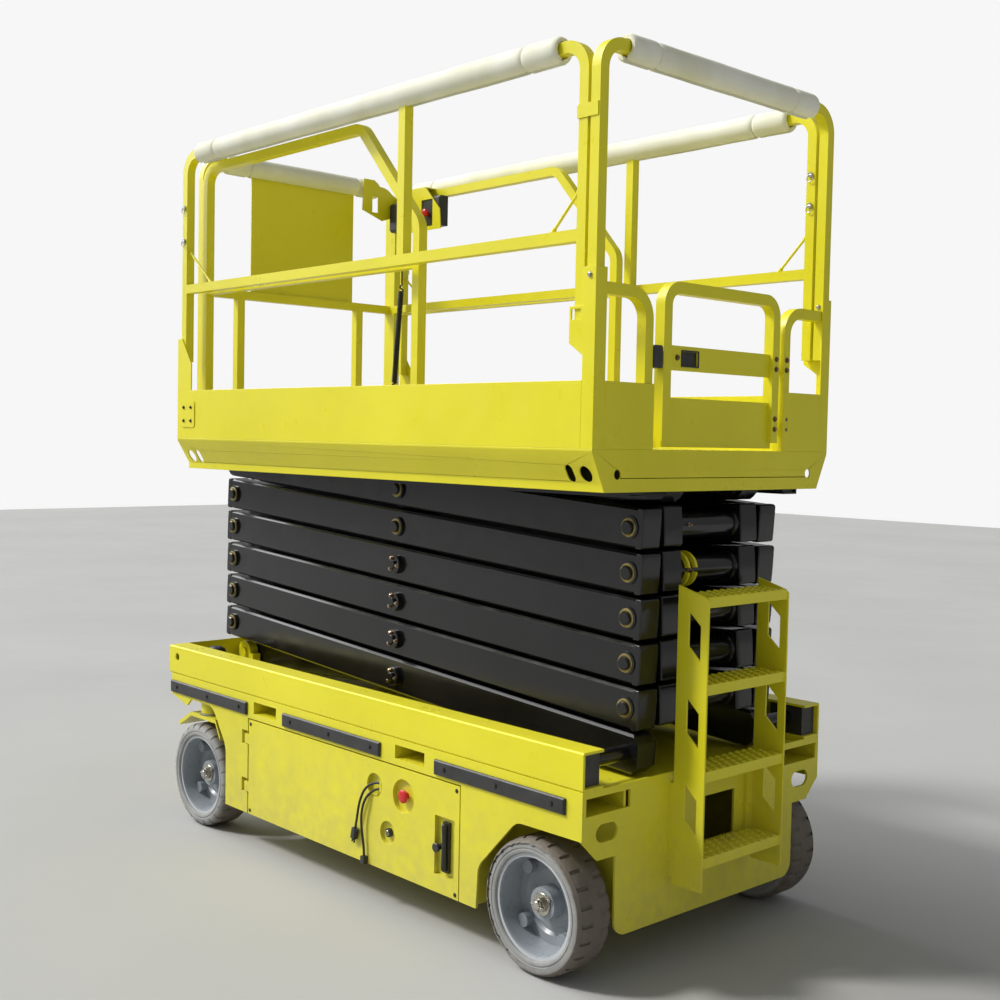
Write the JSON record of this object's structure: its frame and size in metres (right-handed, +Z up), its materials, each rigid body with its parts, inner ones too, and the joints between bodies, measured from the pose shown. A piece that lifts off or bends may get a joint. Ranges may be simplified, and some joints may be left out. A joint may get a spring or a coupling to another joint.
{
  "type": "self-propelled scissor lift",
  "caption": "Self-propelled scissor lift: wheeled chassis with side doors and ladder, stacked scissor arms, guarded platform with a roll-out deck and gate.",
  "frame": {"origin": "floor level under the middle of the bounding box", "axes": "+Z up, +X forward to the steered wheels, +Y to the left side"},
  "size_m": [2.329, 1.1187, 2.547],
  "materials": {
    "yellow_paint": "satin yellow-green enamel, lightly scuffed",
    "rim_paint": "dusty blue-grey enamel",
    "tyre_rubber": "dusty solid rubber",
    "black_paint": "satin black enamel",
    "bright_steel": "plated rod",
    "slide_plastic": "dark wear-resistant block",
    "pack_casing": "dull dark casing",
    "black_plastic": "moulded matte",
    "red_plastic": "glossy red",
    "amber_plastic": "clear amber lens",
    "foam": "white foam sleeve",
    "lead_sheath": "black rubber sheath"
  },
  "bodies": {
    "chassis": {"chassis_frame": "yellow_paint", "side_skirts": "yellow_paint", "slide_rails": "yellow_paint", "rear_plate": "yellow_paint", "front_plate": "yellow_paint", "power_packs": "pack_casing", "bumpers": "black_plastic", "beacon": "amber_plastic", "ladder": "yellow_paint", "steer_barrel": "black_paint"},
    "door_left": {"door_left": "yellow_paint", "stop_button": "red_plastic", "release_lever": "black_plastic", "lead_to_plug": "lead_sheath", "lead_to_clip": "lead_sheath", "plug": "black_plastic", "lead_clip": "black_plastic"},
    "door_right": {"door_right": "yellow_paint"},
    "knuckle_left": {"knuckle_left": "yellow_paint"},
    "knuckle_right": {"knuckle_right": "yellow_paint"},
    "track_rod": {"track_rod": "black_paint"},
    "steer_rod": {"steer_rod": "bright_steel"},
    "wheel_front_left": {"rim_front_left": "rim_paint", "tyre_front_left": "tyre_rubber"},
    "wheel_front_right": {"rim_front_right": "rim_paint", "tyre_front_right": "tyre_rubber"},
    "wheel_rear_left": {"rim_rear_left": "rim_paint", "tyre_rear_left": "tyre_rubber"},
    "wheel_rear_right": {"rim_rear_right": "rim_paint", "tyre_rear_right": "tyre_rubber"},
    "outer_1": {"outer_arms_1": "black_paint"},
    "inner_1": {"inner_arms_1": "black_paint"},
    "outer_2": {"outer_arms_2": "black_paint"},
    "inner_2": {"inner_arms_2": "black_paint"},
    "outer_3": {"outer_arms_3": "black_paint"},
    "inner_3": {"inner_arms_3": "black_paint"},
    "outer_4": {"outer_arms_4": "black_paint"},
    "inner_4": {"inner_arms_4": "black_paint"},
    "outer_5": {"outer_arms_5": "black_paint"},
    "inner_5": {"inner_arms_5": "black_paint"},
    "outer_6": {"outer_arms_6": "black_paint"},
    "inner_6": {"inner_arms_6": "black_paint"},
    "slider_bottom": {"slider_bottom": "slide_plastic"},
    "slider_top": {"slider_top": "slide_plastic"},
    "lift_barrel": {"lift_barrel": "black_paint"},
    "lift_rod": {"lift_rod": "bright_steel"},
    "platform": {"deck": "yellow_paint", "top_channels": "black_paint", "toe_boards": "yellow_paint", "corner_posts": "yellow_paint", "guard_rails": "yellow_paint", "rail_pads": "foam"},
    "gate": {"gate": "yellow_paint"},
    "extension": {"extension_deck": "yellow_paint", "extension_rails": "yellow_paint", "front_pad": "foam", "control_box": "black_plastic", "control_button": "red_plastic", "lead_socket": "black_plastic", "control_lead": "lead_sheath"}
  },
  "joints": [
    {"name": "lift", "type": "hinge", "parent": "chassis", "child": "inner_1", "pos_m": [1.0935, 0, 0.606], "axis": [0, 1, 0], "range_deg": [0, 56]},
    {"name": "cross_1", "type": "hinge", "parent": "inner_1", "child": "outer_1", "pos_m": [0.061, 0, 0.669], "axis": [0, 1, 0], "range_deg": [-112.5, 0]},
    {"name": "rear_pin_1", "type": "hinge", "parent": "inner_1", "child": "outer_2", "pos_m": [-0.9715, 0, 0.732], "axis": [0, 1, 0], "range_deg": [-112.5, 0]},
    {"name": "cross_2", "type": "hinge", "parent": "outer_2", "child": "inner_2", "pos_m": [0.061, 0, 0.795], "axis": [0, 1, 0], "range_deg": [0, 112.5]},
    {"name": "front_pin_2", "type": "hinge", "parent": "outer_2", "child": "inner_3", "pos_m": [1.0935, 0, 0.858], "axis": [0, 1, 0], "range_deg": [0, 112.5]},
    {"name": "cross_3", "type": "hinge", "parent": "inner_3", "child": "outer_3", "pos_m": [0.061, 0, 0.921], "axis": [0, 1, 0], "range_deg": [-112.5, 0]},
    {"name": "rear_pin_3", "type": "hinge", "parent": "inner_3", "child": "outer_4", "pos_m": [-0.9715, 0, 0.984], "axis": [0, 1, 0], "range_deg": [-112.5, 0]},
    {"name": "cross_4", "type": "hinge", "parent": "outer_4", "child": "inner_4", "pos_m": [0.061, 0, 1.047], "axis": [0, 1, 0], "range_deg": [0, 112.5]},
    {"name": "front_pin_4", "type": "hinge", "parent": "outer_4", "child": "inner_5", "pos_m": [1.0935, 0, 1.11], "axis": [0, 1, 0], "range_deg": [0, 112.5]},
    {"name": "cross_5", "type": "hinge", "parent": "inner_5", "child": "outer_5", "pos_m": [0.061, 0, 1.173], "axis": [0, 1, 0], "range_deg": [-112.5, 0]},
    {"name": "rear_pin_5", "type": "hinge", "parent": "inner_5", "child": "outer_6", "pos_m": [-0.9715, 0, 1.236], "axis": [0, 1, 0], "range_deg": [-112.5, 0]},
    {"name": "cross_6", "type": "hinge", "parent": "outer_6", "child": "inner_6", "pos_m": [0.061, 0, 1.299], "axis": [0, 1, 0], "range_deg": [0, 112.5]},
    {"name": "platform_pin", "type": "hinge", "parent": "outer_6", "child": "platform", "pos_m": [1.0935, 0, 1.362], "axis": [0, 1, 0], "range_deg": [0, 56.5]},
    {"name": "slider_bottom_pin", "type": "hinge", "parent": "outer_1", "child": "slider_bottom", "pos_m": [-0.9715, 0, 0.606], "axis": [0, 1, 0], "range_deg": [0, 56.5]},
    {"name": "slider_top_pin", "type": "hinge", "parent": "inner_6", "child": "slider_top", "pos_m": [-0.9715, 0, 1.362], "axis": [0, 1, 0], "range_deg": [-56.5, 0]},
    {"name": "lift_barrel_swing", "type": "hinge", "parent": "chassis", "child": "lift_barrel", "pos_m": [-0.41395, 0, 0.592], "axis": [0, -1, 0], "range_deg": [0, 13.43]},
    {"name": "lift_rod_slide", "type": "slide", "parent": "lift_barrel", "child": "lift_rod", "axis": [0.9958, 0, 0.0911], "range_m": [0, 0.33421]},
    {"name": "steer", "type": "hinge", "parent": "chassis", "child": "knuckle_left", "pos_m": [0.9375, 0.4795, 0.43], "axis": [0, 0, 1], "range_deg": [-40, 40]},
    {"name": "steer_right", "type": "hinge", "parent": "chassis", "child": "knuckle_right", "pos_m": [0.9375, -0.4795, 0.43], "axis": [0, 0, 1], "range_deg": [-40.5, 40.5]},
    {"name": "track_rod_pin", "type": "hinge", "parent": "knuckle_left", "child": "track_rod", "pos_m": [0.8475, 0.4795, 0.429], "axis": [0, 0, 1], "range_deg": [-40.5, 40.5]},
    {"name": "steer_rod_slide", "type": "slide", "parent": "chassis", "child": "steer_rod", "axis": [-0.6203, 0.7844, 0], "range_m": [-0.10761, 0.10761]},
    {"name": "spin_front_left", "type": "hinge", "parent": "knuckle_left", "child": "wheel_front_left", "pos_m": [0.9375, 0.4795, 0.1905], "axis": [0, 1, 0], "continuous": true},
    {"name": "spin_front_right", "type": "hinge", "parent": "knuckle_right", "child": "wheel_front_right", "pos_m": [0.9375, -0.4795, 0.1905], "axis": [0, 1, 0], "continuous": true},
    {"name": "spin_rear_left", "type": "hinge", "parent": "chassis", "child": "wheel_rear_left", "pos_m": [-0.8585, 0.4795, 0.1905], "axis": [0, 1, 0], "continuous": true},
    {"name": "spin_rear_right", "type": "hinge", "parent": "chassis", "child": "wheel_rear_right", "pos_m": [-0.8585, -0.4795, 0.1905], "axis": [0, 1, 0], "continuous": true},
    {"name": "door_left_hinge", "type": "hinge", "parent": "chassis", "child": "door_left", "pos_m": [0.6125, 0.529, 0.3], "axis": [0, 0, -1], "range_deg": [0, 100]},
    {"name": "door_right_hinge", "type": "hinge", "parent": "chassis", "child": "door_right", "pos_m": [0.6125, -0.529, 0.3], "axis": [0, 0, 1], "range_deg": [0, 100]},
    {"name": "gate_hinge", "type": "hinge", "parent": "platform", "child": "gate", "pos_m": [-0.9987, -0.2895, 1.623], "axis": [0, 0, -1], "range_deg": [0, 90]},
    {"name": "roll_out", "type": "slide", "parent": "platform", "child": "extension", "axis": [1, 0, 0], "range_m": [0, 0.9]}
  ],
  "couplings": [
    {"joint": "cross_1", "follows": "lift", "ratio": -2},
    {"joint": "rear_pin_1", "follows": "lift", "ratio": -2},
    {"joint": "cross_2", "follows": "lift", "ratio": 2},
    {"joint": "front_pin_2", "follows": "lift", "ratio": 2},
    {"joint": "cross_3", "follows": "lift", "ratio": -2},
    {"joint": "rear_pin_3", "follows": "lift", "ratio": -2},
    {"joint": "cross_4", "follows": "lift", "ratio": 2},
    {"joint": "front_pin_4", "follows": "lift", "ratio": 2},
    {"joint": "cross_5", "follows": "lift", "ratio": -2},
    {"joint": "rear_pin_5", "follows": "lift", "ratio": -2},
    {"joint": "cross_6", "follows": "lift", "ratio": 2},
    {"joint": "platform_pin", "follows": "lift", "ratio": 1},
    {"joint": "slider_bottom_pin", "follows": "lift", "ratio": 1},
    {"joint": "slider_top_pin", "follows": "lift", "ratio": -1},
    {"joint": "lift_barrel_swing", "follows": "lift", "ratio": 0.23087},
    {"joint": "lift_rod_slide", "follows": "lift", "m_per_rad": 0.3399},
    {"joint": "steer_right", "follows": "steer", "ratio": 1},
    {"joint": "track_rod_pin", "follows": "steer", "ratio": -1},
    {"joint": "steer_rod_slide", "follows": "steer", "m_per_rad": -0.15271}
  ]
}
